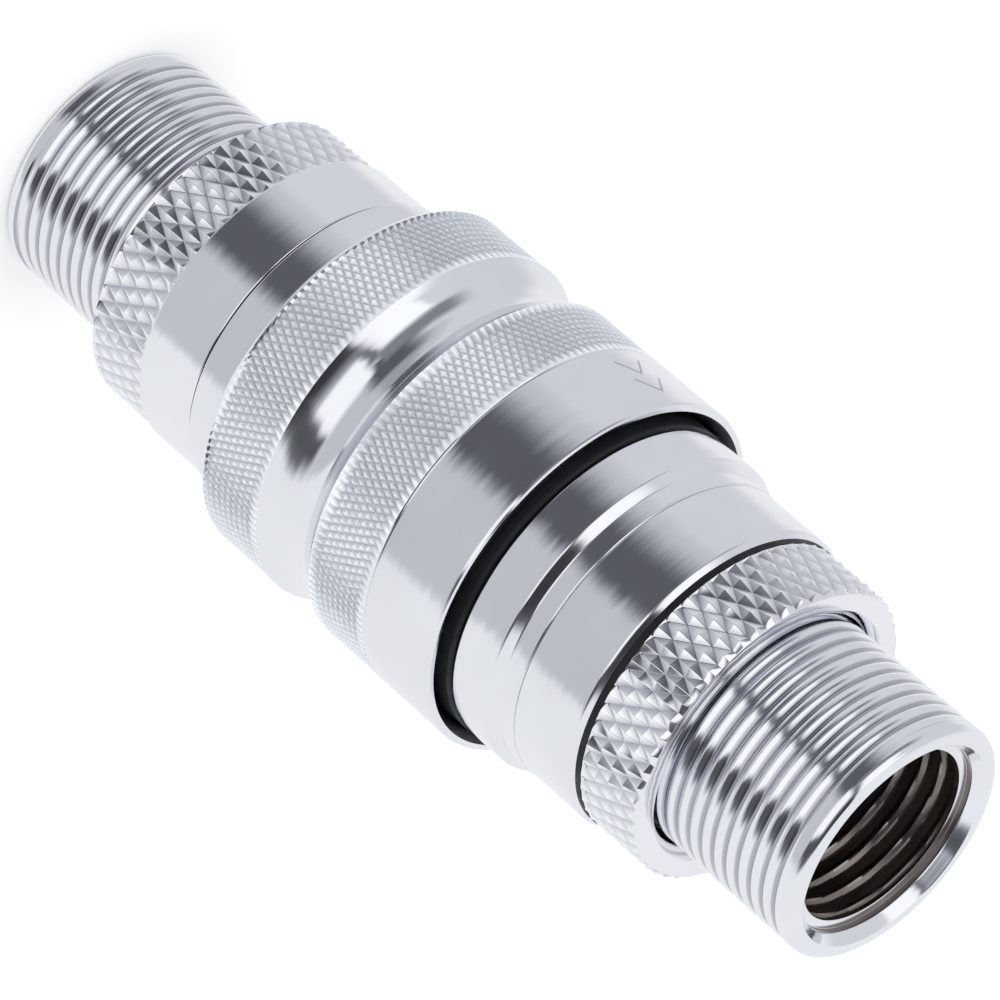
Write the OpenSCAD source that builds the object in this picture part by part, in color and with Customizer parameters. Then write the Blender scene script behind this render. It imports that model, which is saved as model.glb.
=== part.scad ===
// Push-to-release quick coupling for a liquid cooling loop.
// The socket half stands at the bottom with its nipple end on z = 0 and the plug half is seated in it.
// Both halves carry a valve that is held open while they are joined, and a bulkhead nipple with a nut.

/* [Nipples and ports] */
// Outside diameter of the nipple thread, M16 x 1
thread_d = 16; // [15.6:0.1:17]
// Pitch of that thread
thread_pitch = 1; // [0.75:0.05:1.5]
// Depth of that thread, from crest to root
thread_depth = 0.5; // [0.3:0.05:0.6]
// Length left plain between the nipple's end and its thread
thread_start = 0.9; // [0.8:0.05:1.5]
// Length of the socket nipple, from its end to the body ring
socket_nipple_len = 15.6; // [14:0.2:20]
// Length of the plug nipple, from the band to its end
plug_nipple_len = 15.4; // [12:0.2:20]
// Rounding of the nipple's outer edge
nipple_round = 0.7; // [0.2:0.05:0.8]
// Diameter of the port bore, the core of a G1/4 thread
port_d = 11.8; // [11.4:0.1:12.2]
// Depth of the port's thread, from the end face
port_depth = 9.5; // [8:0.1:9.6]
// Depth of the recess in each end face
recess_depth = 1; // [0.5:0.1:2]
// Wall of the rim around that recess
rim_wall = 1.35; // [1:0.05:1.6]
// Fall of the recess floor towards the bore
recess_fall = 0.35; // [0.1:0.05:0.6]

/* [Nuts] */
// Height of each bulkhead nut
nut_h = 4.6; // [3:0.1:7]
// Wall of the nut, from the thread to the tips of the knurl
nut_wall = 2.15; // [1.6:0.05:4]
// Number of knurl diamonds around a nut
nut_knurls = 54; // [40:1:64]
// Height of one staggered row of the nut's knurl
knurl_row = 1.04; // [0.8:0.02:1.5]
// Depth of the nut's knurl
knurl_depth = 0.3; // [0.2:0.02:0.6]
// Bevel on the nut's outer face
nut_bevel = 0.35; // [0.1:0.05:0.5]
// Width of the countersink in the nut's faces
nut_sink = 0.55; // [0.2:0.05:0.8]
// Thickness of the flat gasket under the plug's nut
gasket_t = 0.4; // [0.3:0.1:1.5]
// How far the gasket's edge stands back from the nut's tips
gasket_inset = 0.05; // [0.05:0.05:0.5]

/* [Socket body] */
// Height of the socket's body ring
ring_len = 4.6; // [4.6:0.1:8]
// Wall of the body ring outside the inner body
ring_wall = 1.2; // [1:0.05:1.4]
// Length of the screwed joint between the socket's two body parts
joint_len = 3.4; // [2.4:0.1:3.4]
// Depth of that joint's thread below the inner body
joint_step = 0.45; // [0.2:0.05:0.6]
// Length of the spigot that reaches past the screwed joint
spigot_len = 3.8; // [2:0.1:5]
// Wall of the inner body around the plug's nose
body_wall = 1.8; // [1.6:0.05:2.2]
// Bevel that leads the nose into the socket
mouth_bevel = 0.6; // [0.2:0.05:1]

/* [Release sleeve] */
// Length of the smooth narrow tail
tail_len = 3.1; // [2.6:0.1:4]
// How far the tail stands out past the body ring
tail_step = 0.15; // [0:0.05:0.4]
// Length of the knurled band behind the waist
knurl_back_len = 5.4; // [5:0.1:8]
// Length of the concave waist
waist_len = 4.6; // [4:0.1:6]
// Depth of the concave waist
waist_depth = 1.25; // [0.6:0.05:1.3]
// Length of the knurled band in front of the waist
knurl_front_len = 4.9; // [3:0.1:8]
// Length of the smooth band at the sleeve's mouth
mouth_band_len = 5.6; // [4:0.1:9]
// Wall of the sleeve around its spring
sleeve_wall = 0.95; // [0.8:0.05:1.6]
// Radial room for the spring between body and sleeve
spring_room = 2.15; // [2.1:0.05:3]
// How far the sleeve's mouth opens out
mouth_flare = 0.4; // [0.1:0.05:0.6]
// Radial depth of the relief that frees the lock ring
relief_depth = 1.05; // [0.8:0.05:1.1]
// Length of the land that holds the lock ring in
land_len = 3.5; // [2.6:0.1:3.8]
// Length of the land that guides the sleeve's tail
guide_len = 3.8; // [2:0.1:5]
// Height of the spring's floor above the front knurl's lower edge
spring_floor_rise = 0.6; // [0.3:0.1:1]
// Rounding of the back knurl's lower edge
back_round = 0.7; // [0.2:0.05:1]

/* [Lock] */
// Thickness of the toothed lock ring
lock_t = 1.2; // [0.8:0.1:1.3]
// Radial width of the lock ring's hoop
hoop_w = 1; // [0.8:0.05:1.1]
// How far the sleeve's land reaches past the lock ring
lock_lead = 0.5; // [0.3:0.05:0.8]
// Depth of the lock groove in the plug's nose
lock_depth = 0.8; // [0.5:0.05:0.9]
// Angle that each tooth of the lock ring takes up
tooth_angle = 56; // [30:1:80]
// Angle left open in the split lock ring
lock_gap_angle = 24; // [10:1:40]
// Thickness of the retaining ring in front of the sleeve's spring
snap_t = 0.8; // [0.5:0.1:1.2]
// Depth of the retaining ring's groove
snap_depth = 0.5; // [0.3:0.05:0.7]
// Height of the rubber dust ring
dust_h = 2; // [1:0.1:2.6]

/* [Plug] */
// Wall of the plug's nose around its valve
nose_wall = 1.6; // [1.5:0.05:2]
// Length of the screwed joint between the plug's two body parts
plug_joint_len = 2.9; // [2.4:0.1:3.2]
// Height of the plug's collar
collar_len = 4.7; // [4:0.1:8]
// Gap between the collar and the bore of the sleeve
collar_gap = 0.23; // [0.15:0.01:0.6]
// Height of the smooth band above the collar
band_len = 4.9; // [4.8:0.1:8]
// How far the collar stands out past the band
shoulder_step = 0.6; // [0.3:0.05:1]
// Length of the collar's shoulder along the axis
shoulder_len = 0.6; // [0.4:0.05:1.6]
// Height of the narrow ring between the shoulder and the band
shoulder_ring = 1.25; // [0.4:0.05:1.5]
// Bevel on the band's top edge
band_bevel = 0.35; // [0.1:0.05:0.8]
// Bevel on the tip of the nose
tip_bevel = 0.6; // [0.2:0.05:0.9]

/* [Valves] */
// Diameter of the valve chamber
chamber_d = 11.2; // [10.8:0.1:11.6]
// Diameter of the throat that the valve closes
throat_d = 7.6; // [6.8:0.1:7.8]
// Distance that each valve opens
valve_travel = 2.4; // [1.4:0.1:2.6]
// Diameter of the valve stem
stem_d = 2.5; // [2:0.1:3]
// How far the stem of an open valve reaches past its guide
stem_reach = 1.7; // [1.4:0.1:1.9]
// Diameter of the pilots that push each other open
pilot_d = 3.6; // [2.6:0.1:4]
// Thickness of the flange behind the valve's seal
flange_t = 0.8; // [0.6:0.1:1.4]
// Wire diameter of a valve spring
valve_wire = 0.6; // [0.4:0.05:0.7]
// Mean diameter of a valve spring
valve_spring_d = 6.4; // [5.6:0.1:7]
// Length of a valve spring while its valve is open
valve_spring_len = 6; // [5:0.1:6.2]
// Thickness of the valve guide
guide_t = 1.5; // [1.2:0.1:1.7]
// Width of the ledge that the valve guide sits on
guide_ledge = 0.65; // [0.5:0.05:0.7]
// Width of the valve guide's three webs
web_w = 1.3; // [0.8:0.1:2]
// Gap between the plug's nose and the socket's inner shoulder
tip_gap = 0.4; // [0.2:0.05:0.6]

/* [Seals and springs] */
// Cord diameter of a valve seal or body seal
seal_cord = 1; // [0.8:0.05:1.1]
// How far the middle of a valve seal stands outside the throat
seal_stand = 0.4; // [0.3:0.05:0.5]
// Cord diameter of the seal around the plug's nose
nose_cord = 1.2; // [1:0.05:1.3]
// Distance from the lock ring's middle down to the nose seal
nose_seal_drop = 2.6; // [2.3:0.1:3]
// Distance from the nose seal down to where the valves meet
nose_tip_drop = 1.9; // [1.5:0.1:2.4]
// Wire diameter of the sleeve's spring
sleeve_wire = 0.9; // [0.6:0.05:1.1]
// Number of turns of the sleeve's spring
sleeve_turns = 4.5; // [3.5:0.5:5.5]
// Number of turns of a valve spring
valve_turns = 5; // [4:0.5:6]

/* [Fits] */
// Radial clearance of parts that slide in each other
slide_fit = 0.05; // [0.03:0.01:0.1]
// Radial clearance of screwed joints and seated rings
seat_fit = 0.03; // [0.02:0.01:0.05]
// Room around a seal's cord in its groove
seal_room = 0.05; // [0.03:0.01:0.1]
// Clearance of the lock ring in its groove
lock_fit = 0.05; // [0.03:0.01:0.08]
// Gap between the dust ring and the collar's seat
dust_drop = 0.1; // [0.05:0.05:0.3]
// How far the collar's seat stands above the sleeve's mouth
seat_rise = 0.7; // [0.3:0.05:1.2]

/* [Hidden] */

$fn = 96;
coil_sides = 8;
coil_steps = 18;
edge = 0.15;
over = 1;

// Radii, from the valve outwards
thread_r = thread_d / 2;
port_r = port_d / 2;
recess_r = thread_r - rim_wall;
chamber_r = chamber_d / 2;
throat_r = throat_d / 2;
nose_r = chamber_r + nose_wall;
nose_bore_r = nose_r + slide_fit;
body_r = nose_bore_r + body_wall;
joint_r = body_r - joint_step;
land_r = body_r + slide_fit;
relief_r = body_r + relief_depth;
spring_bore_r = body_r + spring_room;
sleeve_r = spring_bore_r + sleeve_wall;
waist_r = sleeve_r - waist_depth;
ring_r = body_r + ring_wall;
tail_r = ring_r + tail_step;
collar_r = spring_bore_r - collar_gap;
band_r = collar_r - shoulder_step;
nut_r = thread_r + nut_wall;
nut_bore_r = thread_r + slide_fit;
guide_r = chamber_r + guide_ledge;
spigot_r = guide_r - seat_fit;
seal_r = throat_r + seal_stand;
lock_floor_r = nose_r - lock_depth;

// Heights of the socket half and its sleeve
ring_z = socket_nipple_len;
seam_z = ring_z + ring_len;
joint_z = seam_z - joint_len;
spigot_z = joint_z - spigot_len;
guide_z = spigot_z - guide_t;
knurl_back_z = seam_z + tail_len;
waist_z = knurl_back_z + knurl_back_len;
knurl_front_z = waist_z + waist_len;
mouth_band_z = knurl_front_z + knurl_front_len;
mouth_z = mouth_band_z + mouth_band_len;
spring_floor_z = knurl_front_z + spring_floor_rise;
land_z = spring_floor_z - land_len;
lock_z = land_z + lock_lead + lock_t / 2;
nose_seal_z = lock_z - nose_seal_drop;
meet_z = nose_seal_z - nose_tip_drop;
shoulder_z = meet_z - tip_gap / 2;
tip_z = meet_z + tip_gap / 2;
seat_z = mouth_z + seat_rise;
dust_top_z = seat_z - dust_drop;
snap_z = dust_top_z - dust_h - snap_t;

// Heights of the plug half
collar_z = seat_z + collar_len;
plug_joint_z = collar_z + plug_joint_len;
band_z = collar_z + band_len;
nut_seat_z = band_z + gasket_t;
end_z = band_z + plug_nipple_len;

// The valve, as depths below the plane where the two pilots meet
seal_half = seal_cord / 2 + seal_room;
spigot_depth = meet_z - spigot_z;
head_back = spigot_depth - valve_spring_len;
stem_end = spigot_depth + guide_t + stem_reach;
seal_depth = head_back - flange_t - seal_half;
closed_seal_depth = seal_depth - valve_travel;
seat_slack = 0.02;
throat_depth = closed_seal_depth - (seal_r - throat_r) - sqrt(2) * (seal_cord / 2 + seat_slack);
chamber_depth = throat_depth + chamber_r - throat_r;
plug_guide_z = meet_z + spigot_depth;
plug_spigot_z = plug_guide_z + guide_t;

// A turned part: the children are its half section, with x as the radius and y as the height
module turned() {
    rotate_extrude() children();
}

// Half section of a plain ring
module band(r_in, r_out, z_low, z_high) {
    translate([r_in, z_low]) square([r_out - r_in, z_high - z_low]);
}

// Half section to cut away from an outer edge at radius r and height z; up = 1 for a top edge
module outer_bevel(r, z, size, up) {
    polygon([[r - size, z], [r + over, z], [r + over, z - up * (size + over)], [r, z - up * size]]);
}

// Half section of the material taken off to leave a rounded outer edge
module outer_round(r, z, size, up) {
    difference() {
        translate([r - size, up > 0 ? z - size : z]) square([size + over, size]);
        translate([r - size, z - up * size]) circle(r = size);
    }
}

// Half section of one groove of the thread, its middle at height z, with flanks at 60 degrees
module thread_groove(z) {
    root = thread_pitch / 5;
    flare = root / 2 + (thread_depth + over) * tan(30);
    polygon([
        [thread_r - thread_depth, z - root / 2],
        [thread_r - thread_depth, z + root / 2],
        [thread_r + over, z + flare],
        [thread_r + over, z - flare]
    ]);
}

// Half section of a nipple, with its end face on height 0 and the port opening downwards.
// The thread is drawn as rings, one to each pitch, up to the flange that starts at height length.
module nipple_section(length) {
    difference() {
        polygon([
            [port_r, recess_depth + recess_fall],
            [recess_r, recess_depth],
            [recess_r, edge],
            [recess_r + edge, 0],
            [thread_r, 0],
            [thread_r, length + over],
            [chamber_r, length + over],
            [chamber_r, port_depth + port_r - chamber_r],
            [port_r, port_depth]
        ]);
        outer_round(thread_r, 0, nipple_round, -1);
        for (z = [thread_start + thread_pitch / 2 : thread_pitch : length - thread_pitch / 2])
            thread_groove(z);
    }
}

// Seal ring with a round cord, its middle at radius r and height z
module cord_ring(r, z, cord) {
    turned() translate([r, z]) circle(d = cord, $fn = 32);
}

// Height of a compression spring's wire after t turns: closed end turns and an open middle
function coil_z(t, turns, rise, closed) =
    t < 1 ? closed * t
    : t > turns - 1 ? rise - closed * (turns - t)
    : closed + (rise - 2 * closed) * (t - 1) / (turns - 2);

// Compression spring from height 0 to length
module spring(wire, mean_d, length, turns) {
    steps = round(turns * coil_steps);
    rise = length - wire;
    turn_gap = 0.05;
    closed = wire * (1 + turn_gap);
    points = [
        for (i = [0 : steps], s = [0 : coil_sides - 1])
            let (
                turn = turns * i / steps,
                around = 360 * turn,
                side = 360 * s / coil_sides,
                r = mean_d / 2 + wire / 2 * cos(side),
                z = wire / 2 * (1 + sin(side)) + coil_z(turn, turns, rise, closed)
            )
            [r * cos(around), r * sin(around), z]
    ];
    walls = [
        for (i = [0 : steps - 1], s = [0 : coil_sides - 1])
            let (
                a = i * coil_sides + s,
                b = i * coil_sides + (s + 1) % coil_sides
            )
            each [[a, b, b + coil_sides], [a, b + coil_sides, a + coil_sides]]
    ];
    start = [for (s = [coil_sides - 1 : -1 : 0]) s];
    finish = [for (s = [0 : coil_sides - 1]) steps * coil_sides + s];
    polyhedron(points = points, faces = concat(walls, [start, finish]));
}

// Cylinder with staggered pyramids all round: peaks and valleys alternate, and edges run along the valleys
module knurled_blank(r, height, depth, count, rows) {
    cols = 2 * count;
    rings = [
        for (v = [0 : rows], u = [0 : cols - 1])
            let (
                reach = (u + v) % 2 == 0 ? r : r - depth,
                around = 360 * u / cols
            )
            [reach * cos(around), reach * sin(around), height * v / rows]
    ];
    low = len(rings);
    points = concat(rings, [[0, 0, 0], [0, 0, height]]);
    walls = [
        for (v = [0 : rows - 1], u = [0 : cols - 1])
            let (
                a = v * cols + u,
                b = v * cols + (u + 1) % cols,
                c = b + cols,
                d = a + cols
            )
            each (u + v) % 2 == 0 ? [[a, d, b], [b, d, c]] : [[a, c, b], [a, d, c]]
    ];
    caps = [
        for (u = [0 : cols - 1])
            let (
                next = (u + 1) % cols,
                top = rows * cols
            )
            each [[u, next, low], [top + next, top + u, low + 1]]
    ];
    polyhedron(points = points, faces = concat(walls, caps));
}

// Knurled ring nut from its seat on height 0 to its outer face on nut_h
module ring_nut() {
    rows = ceil(nut_h / knurl_row) + 1;
    color("gainsboro")
    difference() {
        intersection() {
            translate([0, 0, -knurl_row / 2])
                knurled_blank(nut_r, rows * knurl_row, knurl_depth, nut_knurls, rows);
            turned($fn = 2 * nut_knurls) difference() {
                band(0, nut_r + over, 0, nut_h);
                outer_bevel(nut_r, nut_h, nut_bevel, 1);
                outer_bevel(nut_r, 0, edge / 2, -1);
            }
        }
        turned($fn = 2 * nut_knurls) difference() {
            band(0, nut_bore_r + nut_sink, -over, nut_h + over);
            polygon([
                [nut_bore_r + nut_sink + over, -over],
                [nut_bore_r + nut_sink + over, nut_h + over],
                [nut_bore_r + nut_sink, nut_h + over],
                [nut_bore_r + nut_sink, nut_h],
                [nut_bore_r, nut_h - nut_sink],
                [nut_bore_r, nut_sink],
                [nut_bore_r + nut_sink, 0],
                [nut_bore_r + nut_sink, -over]
            ]);
        }
    }
}

// Valve body, drawn downwards from the tip of its pilot
module poppet() {
    floor_r = seal_r - seal_cord / 2 - seat_fit;
    flange_inset = 0.1;
    flange_r = seal_r + seal_cord / 2 - flange_inset;
    lip = 0.3;
    lip_inset = 0.25;
    lip_r = seal_r - lip_inset;
    nose_fall = 0.8;
    top = seal_depth - seal_half - lip;
    color("goldenrod")
    turned() polygon([
        [0, 0],
        [pilot_d / 2 - edge, 0],
        [pilot_d / 2, -edge],
        [pilot_d / 2, nose_fall - top],
        [lip_r - nose_fall, nose_fall - top],
        [lip_r, -top],
        [lip_r, -top - lip],
        [floor_r, -top - lip],
        [floor_r, -seal_depth - seal_half],
        [flange_r, -seal_depth - seal_half],
        [flange_r, -head_back],
        [stem_d / 2, -head_back],
        [stem_d / 2, edge - stem_end],
        [stem_d / 2 - edge, -stem_end],
        [0, -stem_end]
    ]);
}

// Three-armed guide that carries the stem and backs the spring, from height 0 to guide_t
module valve_guide() {
    rim = 1.1;
    hub_wall = 1;
    hub_r = stem_d / 2 + hub_wall;
    color("khaki")
    difference() {
        union() {
            turned() band(guide_r - seat_fit - rim, guide_r - seat_fit, 0, guide_t);
            cylinder(r = hub_r, h = guide_t);
            for (arm = [0 : 2])
                rotate([0, 0, 120 * arm])
                    translate([0, -web_w / 2, 0]) cube([guide_r - rim / 2, web_w, guide_t]);
        }
        translate([0, 0, -over]) cylinder(r = stem_d / 2 + slide_fit, h = guide_t + 2 * over);
    }
}

// Half section of the space inside a valve half, drawn downwards from the meeting plane
module valve_space(reach) {
    polygon([
        [0, over],
        [throat_r, over],
        [throat_r, -throat_depth],
        [chamber_r, -chamber_depth],
        [chamber_r, -reach],
        [0, -reach]
    ]);
}

module socket_rear_body() {
    color("silver")
    turned() difference() {
        union() {
            nipple_section(ring_z);
            band(chamber_r, ring_r, ring_z, seam_z);
        }
        outer_bevel(ring_r, ring_z, edge, -1);
        outer_bevel(ring_r, seam_z, edge, 1);
        band(0, guide_r, guide_z, seam_z);
        band(0, joint_r + seat_fit, joint_z, seam_z + over);
        band(0, guide_r + 2 * seal_half, joint_z - 2 * seal_half, joint_z);
    }
}

module socket_front_body() {
    groove_r = nose_r + nose_cord + 2 * seat_fit;
    groove_half = nose_cord / 2 + seal_room;
    lock_half = lock_t / 2 + lock_fit;
    lock_groove_r = body_r - hoop_w - 2 * lock_fit;
    side_room = 2;
    color("silver")
    difference() {
        turned() difference() {
            union() {
                band(chamber_r, spigot_r, spigot_z, joint_z);
                band(chamber_r, joint_r, joint_z, seam_z);
                band(0, body_r, seam_z, seat_z);
            }
            translate([0, meet_z]) valve_space(spigot_depth);
            band(0, nose_bore_r, shoulder_z, seat_z + over);
            polygon([
                [nose_bore_r - over, seat_z - mouth_bevel],
                [nose_bore_r, seat_z - mouth_bevel],
                [nose_bore_r + mouth_bevel, seat_z],
                [nose_bore_r + mouth_bevel, seat_z + over],
                [nose_bore_r - over, seat_z + over]
            ]);
            band(nose_r, groove_r, nose_seal_z - groove_half, nose_seal_z + groove_half);
            band(lock_groove_r, body_r + over, lock_z - lock_half, lock_z + lock_half);
            band(body_r - snap_depth, body_r + over, snap_z - seat_fit, snap_z + snap_t + seat_fit);
        }
        for (side = [0 : 2])
            rotate([0, 0, 120 * side - tooth_angle / 2 - side_room])
                rotate_extrude(angle = tooth_angle + 2 * side_room)
                    band(nose_r - over, body_r, lock_z - lock_half, lock_z + lock_half);
    }
}

module lock_ring() {
    outer_r = body_r - seat_fit;
    inner_r = body_r - hoop_w;
    root_r = inner_r + hoop_w / 4;
    tooth_gap = 0.08;
    tooth_r = lock_floor_r + tooth_gap;
    bite = 0.3;
    color("dimgray") {
        rotate([0, 0, 60 + lock_gap_angle / 2])
            rotate_extrude(angle = 360 - lock_gap_angle)
                band(inner_r, outer_r, lock_z - lock_t / 2, lock_z + lock_t / 2);
        for (side = [0 : 2])
            rotate([0, 0, 120 * side - tooth_angle / 2])
                rotate_extrude(angle = tooth_angle)
                    polygon([
                        [root_r, lock_z - lock_t / 2],
                        [root_r, lock_z + lock_t / 2],
                        [tooth_r + bite, lock_z + lock_t / 2],
                        [tooth_r, lock_z + lock_t / 2 - bite],
                        [tooth_r, lock_z - lock_t / 2 + bite],
                        [tooth_r + bite, lock_z - lock_t / 2]
                    ]);
    }
}

module socket_body_seal() {
    color("black") cord_ring(guide_r + seal_half, joint_z - seal_half, seal_cord);
}

module nose_seal() {
    color("black") cord_ring(nose_r + seat_fit + nose_cord / 2, nose_seal_z, nose_cord);
}

module socket_nut() {
    translate([0, 0, ring_z]) mirror([0, 0, 1]) ring_nut();
}

module socket_poppet() {
    translate([0, 0, meet_z]) poppet();
}

module socket_poppet_seal() {
    color("black") cord_ring(seal_r, meet_z - seal_depth, seal_cord);
}

module socket_valve_spring() {
    color("lightsteelblue")
    translate([0, 0, spigot_z]) spring(valve_wire, valve_spring_d, valve_spring_len, valve_turns);
}

module socket_valve_guide() {
    translate([0, 0, guide_z]) valve_guide();
}

module push_sleeve() {
    waist_half = waist_len / 2;
    waist_bend = (pow(waist_half, 2) + pow(waist_depth, 2)) / (2 * waist_depth);
    tail_round = 0.2;
    color("silver")
    turned() difference() {
        union() {
            band(land_r, tail_r, seam_z, knurl_back_z + over);
            difference() {
                band(land_r, sleeve_r, knurl_back_z, mouth_z);
                outer_round(sleeve_r, knurl_back_z, back_round, -1);
                outer_round(sleeve_r, mouth_z, mouth_flare / 2, 1);
            }
        }
        outer_round(tail_r, seam_z, tail_round, -1);
        translate([waist_r + waist_bend, waist_z + waist_half]) circle(r = waist_bend);
        band(0, relief_r, seam_z + guide_len, land_z);
        band(0, spring_bore_r, spring_floor_z, mouth_z + over);
        polygon([
            [spring_bore_r - over, mouth_z - 2 * mouth_flare],
            [spring_bore_r, mouth_z - 2 * mouth_flare],
            [spring_bore_r + mouth_flare, mouth_z - mouth_flare / 2],
            [spring_bore_r + mouth_flare, mouth_z + over],
            [spring_bore_r - over, mouth_z + over]
        ]);
    }
}

module sleeve_spring() {
    mean_d = body_r + spring_bore_r;
    color("lightsteelblue")
    translate([0, 0, spring_floor_z]) spring(sleeve_wire, mean_d, snap_z - spring_floor_z, sleeve_turns);
}

module retaining_ring() {
    split = 20;
    bore_gap = 0.4;
    color("dimgray")
    rotate([0, 0, 90 + split / 2])
        rotate_extrude(angle = 360 - split)
            band(body_r - snap_depth + seat_fit, spring_bore_r - bore_gap, snap_z, snap_z + snap_t);
}

module dust_ring() {
    bore_gap = 0.2;
    lip_round = 0.3;
    color("black")
    turned() difference() {
        band(body_r + seat_fit, spring_bore_r - bore_gap, snap_z + snap_t, dust_top_z);
        outer_round(spring_bore_r - bore_gap, dust_top_z, lip_round, 1);
    }
}

module plug_rear_body() {
    color("silver")
    turned() {
        translate([0, end_z]) mirror([0, 1]) nipple_section(plug_nipple_len);
        difference() {
            band(chamber_r, band_r, collar_z, band_z);
            outer_bevel(band_r, band_z, band_bevel, 1);
            outer_bevel(band_r, collar_z, edge / 2, -1);
            band(0, joint_r + seat_fit, collar_z - over, plug_joint_z);
        }
        band(chamber_r, spigot_r, plug_spigot_z, plug_joint_z + over);
    }
}

module plug_nose() {
    groove_half = lock_t / 2 + 2 * lock_fit;
    step_r = band_r + edge / 2;
    color("silver")
    turned() difference() {
        union() {
            band(0, nose_r, tip_z, seat_z + over);
            band(0, collar_r, seat_z, collar_z - shoulder_ring - shoulder_len);
            polygon([
                [0, collar_z - shoulder_ring - shoulder_len],
                [collar_r, collar_z - shoulder_ring - shoulder_len],
                [step_r, collar_z - shoulder_ring],
                [step_r, collar_z - edge / 2],
                [step_r - edge / 2, collar_z],
                [0, collar_z]
            ]);
            band(0, joint_r, collar_z - over, plug_joint_z);
        }
        outer_bevel(nose_r, tip_z, tip_bevel, -1);
        outer_bevel(collar_r, seat_z, edge, -1);
        translate([0, meet_z]) mirror([0, 1]) valve_space(spigot_depth);
        band(0, guide_r, plug_guide_z, plug_joint_z + over);
        band(0, guide_r + 2 * seal_half, plug_joint_z - 2 * seal_half, plug_joint_z + over);
        polygon([
            [nose_r + over, lock_z - groove_half - lock_depth - over],
            [nose_r + over, lock_z + groove_half + lock_depth + over],
            [lock_floor_r, lock_z + groove_half],
            [lock_floor_r, lock_z - groove_half]
        ]);
    }
}

module plug_body_seal() {
    color("black") cord_ring(guide_r + seal_half, plug_joint_z - seal_half, seal_cord);
}

module plug_gasket() {
    color("black")
    turned() band(nut_bore_r, nut_r - gasket_inset, band_z, nut_seat_z);
}

module plug_nut() {
    translate([0, 0, nut_seat_z]) ring_nut();
}

module plug_poppet() {
    translate([0, 0, meet_z]) mirror([0, 0, 1]) poppet();
}

module plug_poppet_seal() {
    color("black") cord_ring(seal_r, meet_z + seal_depth, seal_cord);
}

module plug_valve_spring() {
    color("lightsteelblue")
    translate([0, 0, meet_z + head_back]) spring(valve_wire, valve_spring_d, valve_spring_len, valve_turns);
}

module plug_valve_guide() {
    translate([0, 0, plug_guide_z]) valve_guide();
}

socket_rear_body();
socket_front_body();
socket_body_seal();
socket_nut();
socket_poppet();
socket_poppet_seal();
socket_valve_spring();
socket_valve_guide();
nose_seal();
lock_ring();
push_sleeve();
sleeve_spring();
retaining_ring();
dust_ring();
plug_rear_body();
plug_nose();
plug_body_seal();
plug_gasket();
plug_nut();
plug_poppet();
plug_poppet_seal();
plug_valve_spring();
plug_valve_guide();
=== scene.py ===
import math

import bmesh
import bpy
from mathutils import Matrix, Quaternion, Vector


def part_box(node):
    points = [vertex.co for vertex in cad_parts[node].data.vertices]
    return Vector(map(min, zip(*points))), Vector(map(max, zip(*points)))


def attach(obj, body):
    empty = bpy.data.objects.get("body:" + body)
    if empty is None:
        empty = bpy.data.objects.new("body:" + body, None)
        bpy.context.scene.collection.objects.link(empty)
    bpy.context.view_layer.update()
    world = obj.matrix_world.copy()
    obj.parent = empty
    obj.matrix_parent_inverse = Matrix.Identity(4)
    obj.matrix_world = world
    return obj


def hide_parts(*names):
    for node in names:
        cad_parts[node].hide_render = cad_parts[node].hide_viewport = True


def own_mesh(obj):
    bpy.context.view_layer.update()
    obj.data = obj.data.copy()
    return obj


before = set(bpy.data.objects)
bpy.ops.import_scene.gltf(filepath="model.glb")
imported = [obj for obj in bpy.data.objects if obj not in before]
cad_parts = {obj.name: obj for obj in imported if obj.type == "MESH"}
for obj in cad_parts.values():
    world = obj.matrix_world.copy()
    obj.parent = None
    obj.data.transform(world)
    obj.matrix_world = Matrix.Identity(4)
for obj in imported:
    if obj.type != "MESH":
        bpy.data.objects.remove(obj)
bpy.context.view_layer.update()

MM = 0.001
STEPS = 192              # facets round a turned piece


# ---------------------------------------------------------------- sizes taken from the frame

def low_z(node):
    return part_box(node)[0].z


def high_z(node):
    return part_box(node)[1].z


def radius(node):
    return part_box(node)[1].x


END_Z = high_z("plug_rear_body")
RING_R = radius("socket_rear_body")
SEAM_Z = high_z("socket_rear_body")
RING_Z = high_z("socket_nut")
BAND_R = radius("plug_rear_body")
BAND_Z = low_z("plug_gasket")
COLLAR_R = radius("plug_nose")
SEAT_Z = high_z("socket_front_body")
JOINT_TOP_Z = high_z("plug_nose")
NOSE_TIP_Z = low_z("plug_nose")
JOINT_FLOOR_Z = low_z("socket_body_seal") + 1.05 * MM
SPIGOT_Z = low_z("plug_rear_body")
GUIDE_R = radius("socket_valve_guide")
SLEEVE_R = radius("push_sleeve")
MOUTH_Z = high_z("push_sleeve")
LOCK_Z = (low_z("lock_ring") + high_z("lock_ring")) / 2
SPRING_FLOOR_Z = low_z("sleeve_spring")

# The nipples and their ports, as depths from the end face
THREAD_R = 8.0 * MM
THREAD_PITCH = 1.0 * MM
THREAD_PHASE = 0.6       # turn of the thread's start, as a share of a whole turn
THREAD_DEPTH = 0.2 * MM
THREAD_START = 0.9 * MM
RIM_ROUND = 0.65 * MM
RIM_INNER_R = 6.95 * MM
RECESS_R = 6.45 * MM
RECESS_SINK = 0.68 * MM
RECESS_DEPTH = 1.05 * MM
RECESS_FALL = 0.05 * MM
PORT_R = 5.9 * MM
PORT_DEPTH = 9.5 * MM
PORT_PITCH = 1.337 * MM
PORT_THREAD_DEPTH = 0.28 * MM
CHAMBER_R = 5.6 * MM

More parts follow.
